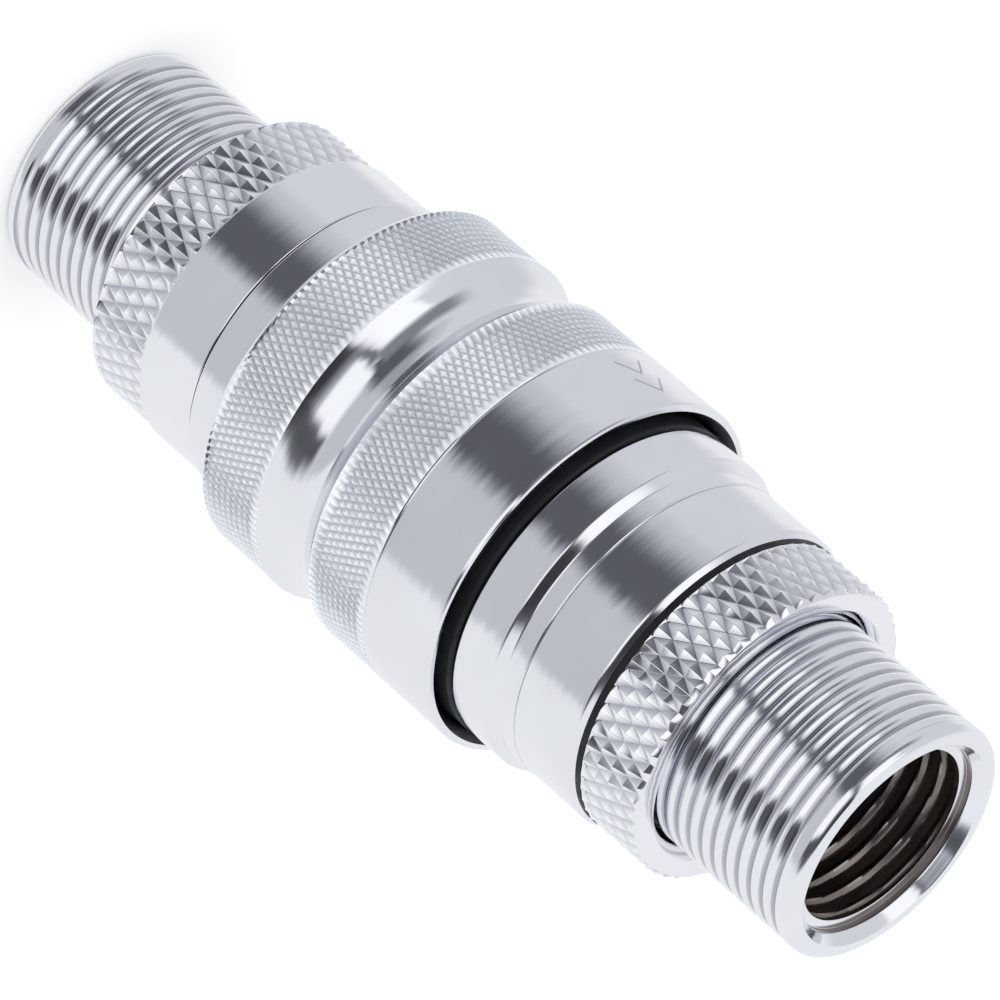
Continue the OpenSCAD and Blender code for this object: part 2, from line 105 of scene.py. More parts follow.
# The plug's collar and nose
COLLAR_Z = 49.2 * MM
SHOULDER_RING = 1.25 * MM
SHOULDER_LEN = 0.5 * MM
BAND_BEVEL = 0.35 * MM
NOSE_R = 7.2 * MM
THROAT_R = 3.8 * MM
LOCK_HALF = 0.7 * MM     # half the width of the floor of the lock's groove
LOCK_FLOOR_R = 6.4 * MM
STEP_R = BAND_R + 0.07 * MM
CONE_Z = NOSE_TIP_Z + 2.915 * MM     # where the throat starts to widen towards the chamber
JOINT_R = 8.6 * MM
SEAL_GROOVE = 1.1 * MM

# The sleeve's bands
TAIL_R = 10.4 * MM
TAIL_Z = 20.2 * MM
KNURL_BACK_Z = 23.3 * MM
WAIST_Z = 28.7 * MM
KNURL_FRONT_Z = 33.3 * MM
MOUTH_BAND_Z = 38.2 * MM
WAIST_DEPTH = 1.25 * MM
SPRING_BORE_R = 11.2 * MM
FLARE_R = 11.6 * MM
LAND_Z = 30.4 * MM
RELIEF_R = 10.1 * MM
GUIDE_LAND_Z = 24.0 * MM
LAND_R = 9.1 * MM
KNURL_COLUMNS = 280
KNURL_ROW = 0.5 * MM
KNURL_DEPTH = 0.16 * MM
SEAM_GAP = 0.17 * MM
TAIL_ROUND = 0.08 * MM
KNURL_ROUND = 0.7 * MM
BAND_STEP = 0.12 * MM
BAND_EDGE = 0.1 * MM
MOUTH_ROUND = 0.25 * MM
STEADY = 0.03 * MM       # short runs that keep the shading of long ones flat

# The chevrons on its mouth band
MARK_TURN = math.radians(-63.3)
MARK_Z = 42.45 * MM
MARK_STEP = 1.74 * MM
MARK_WING = 1.1 * MM
MARK_DROP = 1.28 * MM
MARK_LINE = 0.2 * MM
MARK_RISE = 0.008 * MM
MARK_THICK = 0.038 * MM

# The ring nuts
NUT_R = radius("plug_nut")
NUT_BORE_R = 8.15 * MM
NUT_SINK = 0.55 * MM
NUT_KNURLS = 54
NUT_ROW = 1.04 * MM
NUT_KNURL_DEPTH = 0.3 * MM
NUT_CREST = 0.03 * MM
PLUG_NUT_BEVEL = 0.35 * MM
SOCKET_NUT_BEVEL = 0.12 * MM


# ---------------------------------------------------------------- materials

def shader(name, colour, metallic=1.0, roughness=0.1):
    """A new material with its Principled shader and node tree."""
    material = bpy.data.materials.new(name)
    material.use_nodes = True
    tree = material.node_tree
    surface = tree.nodes["Principled BSDF"]
    surface.inputs["Base Color"].default_value = (*colour, 1)
    surface.inputs["Metallic"].default_value = metallic
    surface.inputs["Roughness"].default_value = roughness
    return material, tree, surface


def object_noise(tree, scale, detail=2.0):
    """Noise on Object coordinates, with its own scale along each axis."""
    place = tree.nodes.new("ShaderNodeTexCoord")
    mapping = tree.nodes.new("ShaderNodeMapping")
    mapping.inputs["Scale"].default_value = scale
    noise = tree.nodes.new("ShaderNodeTexNoise")
    noise.inputs["Scale"].default_value = 1.0
    noise.inputs["Detail"].default_value = detail
    tree.links.new(place.outputs["Object"], mapping.inputs["Vector"])
    tree.links.new(mapping.outputs["Vector"], noise.inputs["Vector"])
    return noise.outputs["Fac"]


def ramp(tree, value, start, end, low=0.0, high=1.0, kind="LINEAR"):
    """Maps the stretch from start to end of a value onto low to high."""
    node = tree.nodes.new("ShaderNodeMapRange")
    node.interpolation_type = kind
    node.inputs["From Min"].default_value = start
    node.inputs["From Max"].default_value = end
    node.inputs["To Min"].default_value = low
    node.inputs["To Max"].default_value = high
    tree.links.new(value, node.inputs["Value"])
    return node.outputs["Result"]


def spread(tree, noise, low, high):
    """Maps a noise value, which keeps to about 0.3 to 0.7, onto low to high."""
    return ramp(tree, noise, 0.3, 0.7, low, high)


def mix_colours(tree, factor, first, second):
    """A mix of two colours, each a plain colour or the output of a node."""
    node = tree.nodes.new("ShaderNodeMix")
    node.data_type = "RGBA"
    tree.links.new(factor, node.inputs["Factor"])
    for name, colour in (("A", first), ("B", second)):
        if isinstance(colour, tuple):
            node.inputs[name].default_value = (*colour, 1)
        else:
            tree.links.new(colour, node.inputs[name])
    return node.outputs["Result"]


def bump(tree, surface, height, distance):
    node = tree.nodes.new("ShaderNodeBump")
    node.inputs["Distance"].default_value = distance
    tree.links.new(height, node.inputs["Height"])
    tree.links.new(node.outputs["Normal"], surface.inputs["Normal"])
    return node


def math_node(tree, operation, *values):
    node = tree.nodes.new("ShaderNodeMath")
    node.operation = operation
    for socket, value in zip(node.inputs, values):
        if isinstance(value, (int, float)):
            socket.default_value = value
        else:
            tree.links.new(value, socket)
    return node.outputs["Value"]


def vector_node(tree, operation, *values):
    node = tree.nodes.new("ShaderNodeVectorMath")
    node.operation = operation
    for socket, value in zip(node.inputs, values):
        if isinstance(value, tuple):
            socket.default_value = value
        else:
            tree.links.new(value, socket)
    return node


def swayed_normal(tree, value, sway):
    """The surface's normal, turned a little about the Z axis by a noise value."""
    normal = tree.nodes.new("ShaderNodeNewGeometry").outputs["Normal"]
    around = vector_node(tree, "CROSS_PRODUCT", (0, 0, 1), normal).outputs["Vector"]
    step = vector_node(tree, "SCALE", around)
    tree.links.new(spread(tree, value, -sway, sway), step.inputs["Scale"])
    moved = vector_node(tree, "ADD", normal, step.outputs["Vector"]).outputs["Vector"]
    return vector_node(tree, "NORMALIZE", moved).outputs["Vector"]


def uneven_gloss(tree, surface, roughness):
    """Lets the roughness wander a little round its value."""
    gloss = spread(tree, object_noise(tree, (300, 300, 900)), 0.7 * roughness, 1.4 * roughness)
    tree.links.new(gloss, surface.inputs["Roughness"])


def turning_lines(tree, surface, depth, sway):
    """Fine lines round the piece, and a slight sway in its reflections."""
    grooves = bump(tree, surface, object_noise(tree, (90, 90, 6000), 3), depth)
    streaks = object_noise(tree, (120, 120, 2600), 4)
    tree.links.new(swayed_normal(tree, streaks, sway), grooves.inputs["Normal"])


def plated(name, colour, shade, roughness, line_depth, sway):
    """Plated metal with turning lines round it and a slight change of tone."""
    material, tree, surface = shader(name, colour, 1.0, roughness)
    tone = spread(tree, object_noise(tree, (140, 140, 140)), 0, 1)
    darker = tuple(c * shade for c in colour)
    tree.links.new(mix_colours(tree, tone, colour, darker), surface.inputs["Base Color"])
    uneven_gloss(tree, surface, roughness)
    turning_lines(tree, surface, line_depth, sway)
    return material


def threaded():
    """Plated thread, with painted shade along the groove of its helix."""
    material = plated("thread_plate", (0.86, 0.88, 0.92), 0.97, 0.1, 0.002 * MM, 0.02)
    tree = material.node_tree
    surface = tree.nodes["Principled BSDF"]
    place = tree.nodes.new("ShaderNodeTexCoord")
    split = tree.nodes.new("ShaderNodeSeparateXYZ")
    tree.links.new(place.outputs["Object"], split.inputs["Vector"])
    x, y, z = (split.outputs[axis] for axis in "XYZ")
    along = math_node(tree, "MULTIPLY", z, 2 * math.pi / THREAD_PITCH)
    turned = math_node(tree, "ADD", math_node(tree, "ARCTAN2", y, x), 2 * math.pi * THREAD_PHASE)
    height = math_node(tree, "COSINE", math_node(tree, "SUBTRACT", along, turned))
    # Grey mixed in along the groove of the helix: painted shade.
    painted_groove_shade = ramp(tree, height, -0.1, -0.95, kind="SMOOTHSTEP")
    plain = surface.inputs["Base Color"].links[0].from_socket
    tree.links.new(mix_colours(tree, painted_groove_shade, plain, (0.46, 0.47, 0.52)), surface.inputs["Base Color"])
    return material


def knurled():
    """Satin plating, with painted shade in the valleys between the knurl's diamonds."""
    # The valley colour is painted shade; the tip colour is the plating.
    valley, tip = (0.53, 0.56, 0.62), (0.94, 0.96, 1.0)
    material, tree, surface = shader("knurled_chrome", tip, 0.65, 0.2)
    height = tree.nodes.new("ShaderNodeAttribute")
    height.attribute_name = "knurl_height"
    tree.links.new(mix_colours(tree, height.outputs["Fac"], valley, tip), surface.inputs["Base Color"])
    uneven_gloss(tree, surface, 0.2)
    bump(tree, surface, object_noise(tree, (5200, 5200, 5200), 3), 0.04 * MM)
    return material


def diamond_plate():
    """Plated metal, with painted shade towards the valleys of a nut's diamonds."""
    # The valley colour is painted shade; the tip colour is the plating.
    valley, tip = (0.62, 0.64, 0.70), (0.95, 0.97, 1.0)
    material, tree, surface = shader("diamond_plate", tip, 1.0, 0.1)
    place = tree.nodes.new("ShaderNodeTexCoord").outputs["Object"]
    flat = vector_node(tree, "MULTIPLY", place, (1, 1, 0)).outputs["Vector"]
    r = vector_node(tree, "LENGTH", flat).outputs["Value"]
    height = ramp(tree, r, NUT_R - NUT_KNURL_DEPTH, NUT_R - 0.3 * NUT_KNURL_DEPTH)
    tree.links.new(mix_colours(tree, height, valley, tip), surface.inputs["Base Color"])
    uneven_gloss(tree, surface, 0.1)
    turning_lines(tree, surface, 0.002 * MM, 0.01)
    return material


def black_rubber():
    """Matt rubber with a fine grain."""
    material, tree, surface = shader("black_rubber", (0.005, 0.006, 0.008), 0.0, 0.45)
    surface.inputs["Specular IOR Level"].default_value = 0.3
    bump(tree, surface, object_noise(tree, (2500, 2500, 2500)), 0.01 * MM)
    gloss = spread(tree, object_noise(tree, (700, 700, 700)), 0.38, 0.6)
    tree.links.new(gloss, surface.inputs["Roughness"])
    return material


CHROME = plated("chrome_plate", (0.86, 0.88, 0.92), 0.97, 0.07, 0.002 * MM, 0.012)
TURNED = plated("turned_chrome", (0.85, 0.87, 0.91), 0.95, 0.10, 0.005 * MM, 0.02)
THREADED = threaded()
KNURLED = knurled()
NUT_PLATE = plated("nut_chrome", (0.88, 0.89, 0.93), 0.97, 0.1, 0.002 * MM, 0.01)
DIAMOND = diamond_plate()
ENGRAVED = plated("engraved_line", (0.55, 0.56, 0.6), 0.9, 0.35, 0.002 * MM, 0.01)
# Dark brown nickel for the port and the recess wall: partly the metal's own tone, partly painted shade of
# the deep bore. It also paints shade on the sleeve's face at the seam.
BORE_NICKEL_AND_SHADE = plated("bore_nickel_and_shade", (0.27, 0.24, 0.22), 0.7, 0.3, 0.004 * MM, 0.02)
# A lighter copy of the bore's nickel on the port thread's crests: painted highlight.
CREST_HIGHLIGHT = plated("thread_crest_highlight", (0.34, 0.31, 0.29), 0.9, 0.25, 0.001 * MM, 0.01)
# Painted shade: a dark grey for the ring's face deep in the seam under the sleeve.
SEAM_SHADE = plated("seam_painted_shade", (0.30, 0.31, 0.34), 0.9, 0.3, 0.002 * MM, 0.01)
BRASS = plated("machined_brass", (0.72, 0.55, 0.30), 0.9, 0.22, 0.004 * MM, 0.01)
SPRING_WIRE = plated("spring_steel", (0.55, 0.55, 0.56), 0.9, 0.2, 0.001 * MM, 0.01)
RUBBER = black_rubber()


# ---------------------------------------------------------------- building turned pieces

def steady_runs(bm):
    """Adds a point close to both ends of each long straight run, which keeps its shading flat."""
    for edge in bm.edges[:]:
        length = edge.calc_length()
        if length < 8 * STEADY:
            continue
        first, last = edge.verts
        rest, _ = bmesh.utils.edge_split(edge, first, STEADY / length)
        if last not in rest.verts:
            rest = edge
        bmesh.utils.edge_split(rest, last, STEADY / (length - STEADY))


def spin(bm, geom, steps):
    """Turns an open section through a full circle round the Z axis."""
    bmesh.ops.spin(bm, geom=geom, cent=(0, 0, 0), axis=(0, 0, 1), dvec=(0, 0, 0),
                   angle=2 * math.pi, steps=steps, use_merge=True, use_duplicate=False)


def spun_section(bm, corners):
    """Adds a closed ring: corners are (radius, height, rounding) in order round its section."""
    verts = [bm.verts.new((r, 0, z)) for r, z, _ in corners]
    bm.faces.new(verts)
    for rounding in sorted({c[2] for c in corners} - {0}):
        chosen = [v for v, c in zip(verts, corners) if c[2] == rounding]
        segments = 3 if rounding < 0.2 * MM else 8
        bmesh.ops.bevel(bm, geom=chosen, offset=rounding, offset_type="OFFSET", segments=segments,
                        profile=0.5, affect="VERTICES", clamp_overlap=False, material=-1)
    bmesh.ops.delete(bm, geom=bm.faces[:], context="FACES_ONLY")
    steady_runs(bm)
    spin(bm, bm.verts[:] + bm.edges[:], STEPS)


def spun_points(bm, points, steps):
    """Adds a closed ring from the (radius, height) points of its section, with steps facets round it."""
    verts = [bm.verts.new((r, 0, z)) for r, z in points]
    edges = [bm.edges.new((a, b)) for a, b in zip(verts, verts[1:] + verts[:1])]
    spin(bm, verts + edges, steps)


def sink(v, depth):
    """Moves a point towards the axis."""
    r = math.hypot(v.co.x, v.co.y)
    v.co.x *= (r - depth) / r
    v.co.y *= (r - depth) / r


def wall(r, low, high, step):
    """Section points along a straight wall, evenly spaced and no further apart than step."""
    count = math.ceil(abs(high - low) / step)
    return [(r, low + (high - low) * i / count, 0) for i in range(count + 1)]


def cut_thread(bm, crest_r, depth, pitch, low, high, run_out):
    """Shapes the wall between two heights into a helical thread; a negative depth cuts outwards."""
    for v in bm.verts:
        off_wall = abs(math.hypot(v.co.x, v.co.y) - crest_r) > 0.05 * MM
        if off_wall or not low < v.co.z < high:
            continue
        turn = math.atan2(v.co.y, v.co.x) / (2 * math.pi)
        fade = min(1, (v.co.z - low) / run_out, (high - v.co.z) / run_out)
        wave = 0.5 - 0.5 * math.cos(2 * math.pi * (v.co.z / pitch - turn - THREAD_PHASE))
        if depth < 0:
            wave = 1 - (1 - wave) ** 6
        else:
            wave = 0.75 * wave + 0.25 * wave ** 4
        sink(v, depth * fade * wave)


def finish_piece(name, bm, materials, body, node=None, sharp=30, pick=None):
    """Makes the object of a finished mesh, with smooth shading up to the sharp angle."""
    bmesh.ops.remove_doubles(bm, verts=bm.verts, dist=1e-7)
    bmesh.ops.recalc_face_normals(bm, faces=bm.faces)
    mesh = bpy.data.meshes.new(name)
    bm.to_mesh(mesh)
    bm.free()
    for material in materials:
        mesh.materials.append(material)
    mesh.shade_smooth()
    mesh.set_sharp_from_angle(angle=math.radians(sharp))
    piece = bpy.data.objects.new(name, mesh)
    bpy.context.scene.collection.objects.link(piece)
    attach(piece, body)
    if node:
        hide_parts(node)
    if pick:
        for polygon in mesh.polygons:
            polygon.material_index = pick(polygon)
    return piece


# ---------------------------------------------------------------- the two threaded bodies

def nipple_corners(place, flange_depth):
    """Section corners of a nipple from its flange round the rim into the port."""
    port_start = RECESS_DEPTH + RECESS_FALL
    return (
        wall(THREAD_R, place(flange_depth), place(THREAD_START), THREAD_PITCH / 16)
        + [
            (THREAD_R, place(0), RIM_ROUND),
            (RIM_INNER_R, place(0), 0.06 * MM),
            (RECESS_R, place(RECESS_SINK), 0.05 * MM),
            (RECESS_R, place(RECESS_DEPTH), 0.04 * MM),
        ]
        + wall(PORT_R, place(port_start), place(PORT_DEPTH), PORT_PITCH / 12)
        + [(CHAMBER_R, place(PORT_DEPTH + PORT_R - CHAMBER_R), 0)]
    )


def nipple_finish(polygon):
    """0 plated outside, 1 in the port and on the recess wall, dark nickel partly painted shade, 2 on its
    thread's crests, a painted highlight, 3 on the outer thread, 4 in the seam, painted shade.
    """
    centre = polygon.center
    r = math.hypot(centre.x, centre.y)
    depth = min(centre.z, END_Z - centre.z)
    if r < RECESS_R - 0.1 * MM and depth > RECESS_DEPTH + RECESS_FALL:
        return 2 if depth < PORT_DEPTH and r < PORT_R + 0.05 * MM else 1
    if RECESS_SINK + 0.04 * MM < depth < RECESS_DEPTH and r < RECESS_R + 0.01 * MM:
        return 1
    # The ring's face in the seam gets painted shade.
    if abs(centre.z - SEAM_Z) < 0.01 * MM:
        return 4
    on_thread = THREAD_START < depth < RING_Z and THREAD_R - 0.5 * MM < r < THREAD_R + 0.01 * MM
    return 3 if on_thread else 0


def cut_threads(bm, place, flange_depth):
    """The nipple's outer thread and the port's inner thread."""
    low, high = sorted((place(THREAD_START), place(flange_depth)))
    cut_thread(bm, THREAD_R, THREAD_DEPTH, THREAD_PITCH, low, high, 0.4 * MM)
    low, high = sorted((place(RECESS_DEPTH + RECESS_FALL), place(PORT_DEPTH)))
    cut_thread(bm, PORT_R, -PORT_THREAD_DEPTH, PORT_PITCH, low, high, 0.7 * MM)


def socket_rear_body():
    bm = bmesh.new()
    corners = nipple_corners(lambda depth: depth, RING_Z) + [
        (CHAMBER_R, low_z("socket_valve_guide"), 0),
        (GUIDE_R, low_z("socket_valve_guide"), 0),
        (GUIDE_R, JOINT_FLOOR_Z - SEAL_GROOVE, 0),
        (GUIDE_R + SEAL_GROOVE, JOINT_FLOOR_Z - SEAL_GROOVE, 0),
        (GUIDE_R + SEAL_GROOVE, JOINT_FLOOR_Z, 0),
        (JOINT_R + 0.03 * MM, JOINT_FLOOR_Z, 0),
        (JOINT_R + 0.03 * MM, SEAM_Z, 0),
        (RING_R, SEAM_Z, 0.08 * MM),
        (RING_R, RING_Z, 0.15 * MM),
    ]
    spun_section(bm, corners)
    cut_threads(bm, lambda depth: depth, RING_Z)
    finish_piece("socket_threaded_body", bm, [CHROME, BORE_NICKEL_AND_SHADE, CREST_HIGHLIGHT, THREADED, SEAM_SHADE], "socket",
                 "socket_rear_body", pick=nipple_finish)


def plug_rear_body():
    bm = bmesh.new()
    corners = nipple_corners(lambda depth: END_Z - depth, END_Z - BAND_Z) + [
        (CHAMBER_R, SPIGOT_Z, 0),
        (GUIDE_R, SPIGOT_Z, 0),
        (GUIDE_R, JOINT_TOP_Z, 0),
        (JOINT_R + 0.03 * MM, JOINT_TOP_Z, 0),
        (JOINT_R + 0.03 * MM, COLLAR_Z, 0),
        (BAND_R, COLLAR_Z, 0.08 * MM),
        (BAND_R, BAND_Z - BAND_BEVEL, 0.08 * MM),
        (BAND_R - BAND_BEVEL, BAND_Z, 0.05 * MM),
    ]
    spun_section(bm, corners)
    cut_threads(bm, lambda depth: END_Z - depth, END_Z - BAND_Z)
    finish_piece("plug_threaded_body", bm, [TURNED, BORE_NICKEL_AND_SHADE, CREST_HIGHLIGHT, THREADED], "plug",
                 "plug_rear_body", pick=nipple_finish)


# ---------------------------------------------------------------- the plug's nose and collar

def plug_nose():
    bm = bmesh.new()
    shoulder_top = COLLAR_Z - SHOULDER_RING
    shoulder_low = shoulder_top - SHOULDER_LEN
    lock_low, lock_high = LOCK_Z - LOCK_HALF, LOCK_Z + LOCK_HALF
    lock_depth = NOSE_R - LOCK_FLOOR_R
    corners = [
        (THROAT_R, NOSE_TIP_Z, 0),
        (NOSE_R, NOSE_TIP_Z, 0.5 * MM),
        (NOSE_R, lock_low - lock_depth, 0.1 * MM),
        (LOCK_FLOOR_R, lock_low, 0),
        (LOCK_FLOOR_R, lock_high, 0),
        (NOSE_R, lock_high + lock_depth, 0.1 * MM),
        (NOSE_R, SEAT_Z, 0),
        (COLLAR_R, SEAT_Z, 0.15 * MM),
        (COLLAR_R, shoulder_low, 0.06 * MM),
        (STEP_R, shoulder_top, 0.05 * MM),
        (STEP_R, COLLAR_Z, 0.08 * MM),
        (JOINT_R, COLLAR_Z, 0),
        (JOINT_R, JOINT_TOP_Z, 0),
        (GUIDE_R + SEAL_GROOVE, JOINT_TOP_Z, 0),
        (GUIDE_R + SEAL_GROOVE, JOINT_TOP_Z - SEAL_GROOVE, 0),
        (GUIDE_R, JOINT_TOP_Z - SEAL_GROOVE, 0),
        (GUIDE_R, low_z("plug_valve_guide"), 0),
        (CHAMBER_R, low_z("plug_valve_guide"), 0),
        (CHAMBER_R, CONE_Z + CHAMBER_R - THROAT_R, 0),
        (THROAT_R, CONE_Z, 0),
    ]
    spun_section(bm, corners)
    finish_piece("plug_collar_nose", bm, [TURNED], "plug", "plug_nose")


# ---------------------------------------------------------------- the release sleeve

def knurl_rows(low, high):
    """Section points of a knurled band, with one point for each half row."""
    count = round((high - low) / KNURL_ROW)
    return [(SLEEVE_R, low + (high - low) * i / count) for i in range(count + 1)]


def waist_points(count=14):
    """Section points of the concave waist, an arc between the two knurled bands."""
    half = (KNURL_FRONT_Z - WAIST_Z) / 2
    bend = (half ** 2 + WAIST_DEPTH ** 2) / (2 * WAIST_DEPTH)
    centre_r = SLEEVE_R - WAIST_DEPTH + bend
    reach = math.asin(half / bend)
    centre_z = (WAIST_Z + KNURL_FRONT_Z) / 2
    angles = [reach * (2 * i / count - 1) for i in range(count + 1)]
    return [(centre_r - bend * math.cos(a), centre_z + bend * math.sin(a)) for a in angles]


def sleeve_outside(back, front):
    """Section points from the tail round the knurled bands to the mouth."""
    tail_z = TAIL_Z + SEAM_GAP
    angles = [math.radians(15 * i) for i in range(7)]
    return (
        [(LAND_R, tail_z), (TAIL_R - TAIL_ROUND, tail_z)]
        + [(TAIL_R - TAIL_ROUND / 4, tail_z + TAIL_ROUND / 4), (TAIL_R, tail_z + TAIL_ROUND)]
        + [(TAIL_R, tail_z + TAIL_ROUND + STEADY), (TAIL_R, KNURL_BACK_Z)]
        + [(SLEEVE_R - KNURL_ROUND * (1 - math.sin(a)), KNURL_BACK_Z + KNURL_ROUND * (1 - math.cos(a)))
           for a in angles]
        + back[1:] + waist_points()[1:-1] + front
        + [(SLEEVE_R - BAND_STEP, MOUTH_BAND_Z), (SLEEVE_R, MOUTH_BAND_Z + BAND_EDGE)]
        + [(SLEEVE_R, MOUTH_BAND_Z + BAND_EDGE + STEADY), (SLEEVE_R, MOUTH_Z - MOUTH_ROUND - STEADY)]
        + [(SLEEVE_R, MOUTH_Z - MOUTH_ROUND)]
        + [(SLEEVE_R - 0.2 * MOUTH_ROUND, MOUTH_Z - 0.32 * MOUTH_ROUND)]
        + [(SLEEVE_R - 0.72 * MOUTH_ROUND, MOUTH_Z)]
    )


def sleeve_inside():
    """Section points from the mouth over the spring's room to the guiding lands."""
    return [
        (FLARE_R + 0.1 * MM, MOUTH_Z), (FLARE_R, MOUTH_Z - 0.1 * MM), (SPRING_BORE_R, MOUTH_Z - 0.8 * MM),
        (SPRING_BORE_R, SPRING_FLOOR_Z), (LAND_R, SPRING_FLOOR_Z), (LAND_R, LAND_Z),
        (RELIEF_R, LAND_Z), (RELIEF_R, GUIDE_LAND_Z), (LAND_R, GUIDE_LAND_Z),
    ]


def knurl_valleys(bm, rows):
    """Every second point of a knurled band, which becomes a valley between its diamonds."""
    low, high, count = rows[0][1], rows[-1][1], len(rows) - 1
    valleys = []
    for v in bm.verts:
        inside = math.hypot(v.co.x, v.co.y) < SLEEVE_R - 0.01 * MM
        if inside or not low - 1e-6 < v.co.z < high + 1e-6:
            continue
        column = round(math.atan2(v.co.y, v.co.x) / (2 * math.pi / KNURL_COLUMNS))
        row = round((v.co.z - low) / (high - low) * count)
        if (row + column) % 2:
            valleys.append(v)
    return valleys


def push_sleeve():
    bm = bmesh.new()
    back = knurl_rows(KNURL_BACK_Z + KNURL_ROUND, WAIST_Z - 0.05 * MM)
    front = knurl_rows(KNURL_FRONT_Z + 0.05 * MM, MOUTH_BAND_Z - BAND_EDGE)
    # knurl_height, 0 in the valleys, steers the knurled material's painted shade.
    height = bm.verts.layers.float.new("knurl_height")
    spun_points(bm, sleeve_outside(back, front) + sleeve_inside(), KNURL_COLUMNS)
    valleys = knurl_valleys(bm, back[:-1]) + knurl_valleys(bm, front[1:-1])
    for v in bm.verts:
        v[height] = 1
    for v in valleys:
        sink(v, KNURL_DEPTH)
        v[height] = 0
    bmesh.ops.connect_verts(bm, verts=valleys, check_degenerate=False)

    def finish_of(polygon):
        """0 turned, 1 knurled, 2 the face at the seam, given the bore's dark nickel as painted shade."""
        z = polygon.center.z
        # The tail's face in the seam gets painted shade.
        if z < TAIL_Z + SEAM_GAP + 0.01 * MM:
            return 2
        on_rows = any(rows[0][1] < z < rows[-1][1] for rows in (back, front))
        on_outside = math.hypot(polygon.center.x, polygon.center.y) > SLEEVE_R - 0.3 * MM
        return 1 if on_rows and on_outside else 0

    finish_piece("release_sleeve", bm, [TURNED, KNURLED, BORE_NICKEL_AND_SHADE], "sleeve", "push_sleeve",
                 sharp=24, pick=finish_of)


def chevron(bm, tip_z):
    """Adds one chevron of the mark, a flat strip bent onto the sleeve."""
    strip = bmesh.ops.create_grid(bm, x_segments=8, y_segments=1, size=1)["verts"]
    r = SLEEVE_R + MARK_RISE
    for v in strip:
        turn = MARK_TURN + v.co.x * MARK_WING / SLEEVE_R
        z = tip_z - abs(v.co.x) * MARK_DROP + (v.co.y - 1) / 2 * MARK_LINE
        v.co = (r * math.sin(turn), -r * math.cos(turn), z)


def sleeve_mark():
    """Two plain chevrons on the mouth band, one over the other."""
    bm = bmesh.new()
    chevron(bm, MARK_Z)
    chevron(bm, MARK_Z - MARK_STEP)
    bm.normal_update()
    bmesh.ops.solidify(bm, geom=bm.faces[:], thickness=MARK_THICK)
    finish_piece("sleeve_chevrons", bm, [ENGRAVED], "sleeve")


# ---------------------------------------------------------------- the ring nuts

def ring_nut(name, node, seat_z, face_z, bevel):
    """Knurled nut between its seat and its outer face, whose edge has the given bevel.
    The frame's body has the name of its one node."""
    bm = bmesh.new()
    out = 1 if face_z > seat_z else -1
    rows = [face_z - out * (bevel + i * NUT_ROW) for i in range(5)]
    section = [
        (NUT_BORE_R, seat_z + out * NUT_SINK),
        (NUT_BORE_R + NUT_SINK, seat_z),
        (NUT_R - 0.1 * MM, seat_z),
        *((NUT_R, z) for z in reversed(rows)),
        (NUT_R - bevel, face_z),
        (NUT_BORE_R + NUT_SINK, face_z),
        (NUT_BORE_R, face_z - out * NUT_SINK),
    ]
    spun_points(bm, section, 2 * NUT_KNURLS)
    valleys = []
    for v in bm.verts:
        r = math.hypot(v.co.x, v.co.y)
        row = (v.co.z - rows[0]) / NUT_ROW
        column = round(math.atan2(v.co.y, v.co.x) / (math.pi / NUT_KNURLS))
        if r > NUT_R - 0.05 * MM and (round(row) + column) % 2:
            valleys.append(v)
            sink(v, NUT_KNURL_DEPTH)
    bmesh.ops.connect_verts(bm, verts=valleys, check_degenerate=False)
    bmesh.ops.recalc_face_normals(bm, faces=bm.faces)
    creases = [e for e in bm.edges if e.calc_face_angle() > math.radians(12)]
    bmesh.ops.bevel(bm, geom=creases, offset=NUT_CREST, offset_type="OFFSET", segments=2, profile=0.5,
                    affect="EDGES", clamp_overlap=True, material=-1)
    low, high = sorted((rows[0], rows[-1]))

    def finish_of(polygon):
        """0 on the faces and in the bore, 1 on the knurl."""
        on_outside = math.hypot(polygon.center.x, polygon.center.y) > NUT_BORE_R + NUT_SINK + 0.1 * MM
        return 1 if on_outside and low < polygon.center.z < high else 0

    finish_piece(name, bm, [NUT_PLATE, DIAMOND], node, node, sharp=35, pick=finish_of)


# ---------------------------------------------------------------- nodes that keep their own mesh

def dress(node, material):
    """Gives a node's own mesh its material."""
    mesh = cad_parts[node].data
    mesh.materials.clear()
    mesh.materials.append(material)


def dress_nodes():
    finishes = {
        CHROME: ["socket_front_body"],
        BRASS: ["socket_poppet", "plug_poppet", "socket_valve_guide", "plug_valve_guide"],
        SPRING_WIRE: ["socket_valve_spring", "plug_valve_spring", "sleeve_spring", "lock_ring",
                      "retaining_ring"],
        RUBBER: ["socket_body_seal", "plug_body_seal", "nose_seal", "socket_poppet_seal", "plug_poppet_seal",
                 "dust_ring", "plug_gasket"],
    }
    for material, nodes in finishes.items():
        for node in nodes:
            dress(node, material)


def squeeze_spring():
    """Gives the sleeve's spring a mesh of its own."""
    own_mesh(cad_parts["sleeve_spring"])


# ---------------------------------------------------------------- surroundings, light and camera

def window(tree, value, span, soft):
    """1 where value lies in the span, falling to 0 over the soft distance at each end."""
    rise = ramp(tree, value, span[0] - soft[0], span[0], kind="SMOOTHSTEP")
    fall = ramp(tree, value, span[1] + soft[1], span[1], kind="SMOOTHSTEP")
    return math_node(tree, "MULTIPLY", rise, fall)


